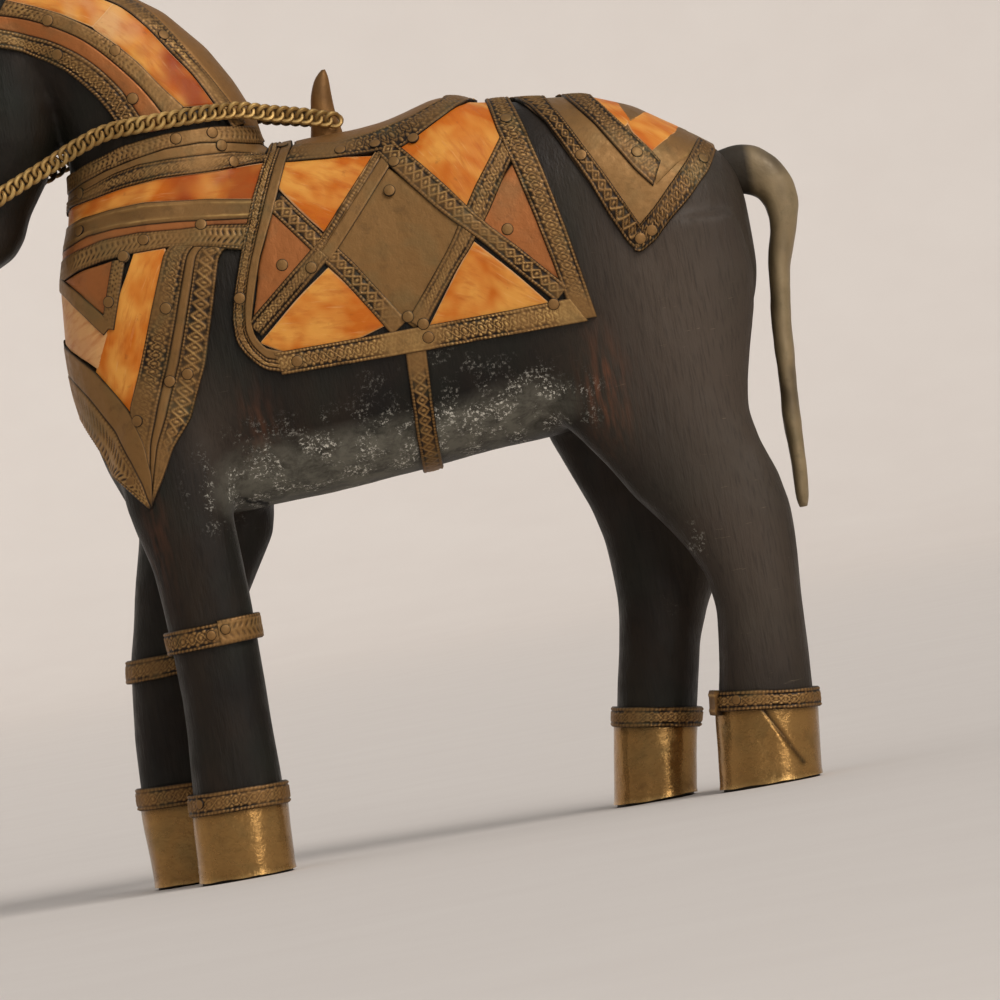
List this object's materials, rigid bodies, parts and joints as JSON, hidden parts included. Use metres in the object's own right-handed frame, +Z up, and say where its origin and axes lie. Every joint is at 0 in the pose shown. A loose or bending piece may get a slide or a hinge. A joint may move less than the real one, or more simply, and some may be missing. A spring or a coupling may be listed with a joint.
{
  "type": "carved horse figure",
  "caption": "Standing carved wooden horse figure clad in sheet brass, copper and bone, with embossed strips, chain reins and brass hoof caps.",
  "frame": {"origin": "on the ground under the middle of the bounding box", "axes": "-X the way the horse faces, +Z up, -Y the horse's left side"},
  "size_m": [0.2049, 0.0566, 0.2353],
  "materials": {
    "bit_boss_left": "patinated olive-brown brass, partly embossed",
    "bit_boss_right": "patinated olive-brown brass, partly embossed",
    "chest_bone_1_left": "stained bone tile, cream to burnt orange",
    "chest_bone_1_right": "stained bone tile, cream to burnt orange",
    "chest_bone_2_left": "stained bone tile, cream to burnt orange",
    "chest_bone_2_right": "stained bone tile, cream to burnt orange",
    "chest_copper_left": "reddish copper sheet, dull",
    "chest_copper_right": "reddish copper sheet, dull",
    "chest_drop": "patinated olive-brown brass, partly embossed",
    "collar_bone": "stained bone tile, cream to burnt orange",
    "collar_copper_left": "reddish copper sheet, dull",
    "collar_copper_right": "reddish copper sheet, dull",
    "collar_lower": "patinated olive-brown brass, partly embossed",
    "collar_upper": "patinated olive-brown brass, partly embossed",
    "crupper": "patinated olive-brown brass, partly embossed",
    "crupper_bone_1_left": "stained bone tile, cream to burnt orange",
    "crupper_bone_1_right": "stained bone tile, cream to burnt orange",
    "crupper_bone_2_left": "stained bone tile, cream to burnt orange",
    "crupper_bone_2_right": "stained bone tile, cream to burnt orange",
    "face_plate": "patinated olive-brown brass, partly embossed",
    "girth_strap": "patinated olive-brown brass, partly embossed",
    "hoof_cap_front_left": "polished golden brass sheet",
    "hoof_cap_front_right": "polished golden brass sheet",
    "hoof_cap_hind_left": "polished golden brass sheet",
    "hoof_cap_hind_right": "polished golden brass sheet",
    "knee_band_left": "patinated olive-brown brass, partly embossed",
    "knee_band_right": "patinated olive-brown brass, partly embossed",
    "neck_bone_1_left": "stained bone tile, cream to burnt orange",
    "neck_bone_1_right": "stained bone tile, cream to burnt orange",
    "neck_bone_2_left": "stained bone tile, cream to burnt orange",
    "neck_bone_2_right": "stained bone tile, cream to burnt orange",
    "neck_copper_left": "reddish copper sheet, dull",
    "neck_copper_right": "reddish copper sheet, dull",
    "neck_crest": "patinated olive-brown brass, partly embossed",
    "neck_strip_inner_left": "patinated olive-brown brass, partly embossed",
    "neck_strip_inner_right": "patinated olive-brown brass, partly embossed",
    "neck_strip_outer_left": "patinated olive-brown brass, partly embossed",
    "neck_strip_outer_right": "patinated olive-brown brass, partly embossed",
    "rein_chain_left": "patinated brass curb chain",
    "rein_chain_right": "patinated brass curb chain",
    "saddle_bone_1_left": "stained bone tile, cream to burnt orange",
    "saddle_bone_1_right": "stained bone tile, cream to burnt orange",
    "saddle_bone_2_left": "stained bone tile, cream to burnt orange",
    "saddle_bone_2_right": "stained bone tile, cream to burnt orange",
    "saddle_bone_3_left": "stained bone tile, cream to burnt orange",
    "saddle_bone_3_right": "stained bone tile, cream to burnt orange",
    "saddle_bone_4_left": "stained bone tile, cream to burnt orange",
    "saddle_bone_4_right": "stained bone tile, cream to burnt orange",
    "saddle_copper_1_left": "reddish copper sheet, dull",
    "saddle_copper_1_right": "reddish copper sheet, dull",
    "saddle_copper_2_left": "reddish copper sheet, dull",
    "saddle_copper_2_right": "reddish copper sheet, dull",
    "saddle_frame": "patinated olive-brown brass, partly embossed",
    "saddle_horn": "patinated olive-brown brass, partly embossed",
    "saddle_seat": "patinated olive-brown brass, partly embossed",
    "tail": "patinated olive-brown brass, partly embossed",
    "wooden_body": "dark carved hardwood, worn, fine vertical grain"
  },
  "bodies": {
    "root": {"bit_boss_left": "bit_boss_left", "bit_boss_right": "bit_boss_right", "chest_bone_1_left": "chest_bone_1_left", "chest_bone_1_right": "chest_bone_1_right", "chest_bone_2_left": "chest_bone_2_left", "chest_bone_2_right": "chest_bone_2_right", "chest_copper_left": "chest_copper_left", "chest_copper_right": "chest_copper_right", "chest_drop": "chest_drop", "collar_bone": "collar_bone", "collar_copper_left": "collar_copper_left", "collar_copper_right": "collar_copper_right", "collar_lower": "collar_lower", "collar_upper": "collar_upper", "crupper": "crupper", "crupper_bone_1_left": "crupper_bone_1_left", "crupper_bone_1_right": "crupper_bone_1_right", "crupper_bone_2_left": "crupper_bone_2_left", "crupper_bone_2_right": "crupper_bone_2_right", "face_plate": "face_plate", "girth_strap": "girth_strap", "hoof_cap_front_left": "hoof_cap_front_left", "hoof_cap_front_right": "hoof_cap_front_right", "hoof_cap_hind_left": "hoof_cap_hind_left", "hoof_cap_hind_right": "hoof_cap_hind_right", "knee_band_left": "knee_band_left", "knee_band_right": "knee_band_right", "neck_bone_1_left": "neck_bone_1_left", "neck_bone_1_right": "neck_bone_1_right", "neck_bone_2_left": "neck_bone_2_left", "neck_bone_2_right": "neck_bone_2_right", "neck_copper_left": "neck_copper_left", "neck_copper_right": "neck_copper_right", "neck_crest": "neck_crest", "neck_strip_inner_left": "neck_strip_inner_left", "neck_strip_inner_right": "neck_strip_inner_right", "neck_strip_outer_left": "neck_strip_outer_left", "neck_strip_outer_right": "neck_strip_outer_right", "rein_chain_left": "rein_chain_left", "rein_chain_right": "rein_chain_right", "saddle_bone_1_left": "saddle_bone_1_left", "saddle_bone_1_right": "saddle_bone_1_right", "saddle_bone_2_left": "saddle_bone_2_left", "saddle_bone_2_right": "saddle_bone_2_right", "saddle_bone_3_left": "saddle_bone_3_left", "saddle_bone_3_right": "saddle_bone_3_right", "saddle_bone_4_left": "saddle_bone_4_left", "saddle_bone_4_right": "saddle_bone_4_right", "saddle_copper_1_left": "saddle_copper_1_left", "saddle_copper_1_right": "saddle_copper_1_right", "saddle_copper_2_left": "saddle_copper_2_left", "saddle_copper_2_right": "saddle_copper_2_right", "saddle_frame": "saddle_frame", "saddle_horn": "saddle_horn", "saddle_seat": "saddle_seat", "tail": "tail", "wooden_body": "wooden_body"}
  },
  "joints": []
}
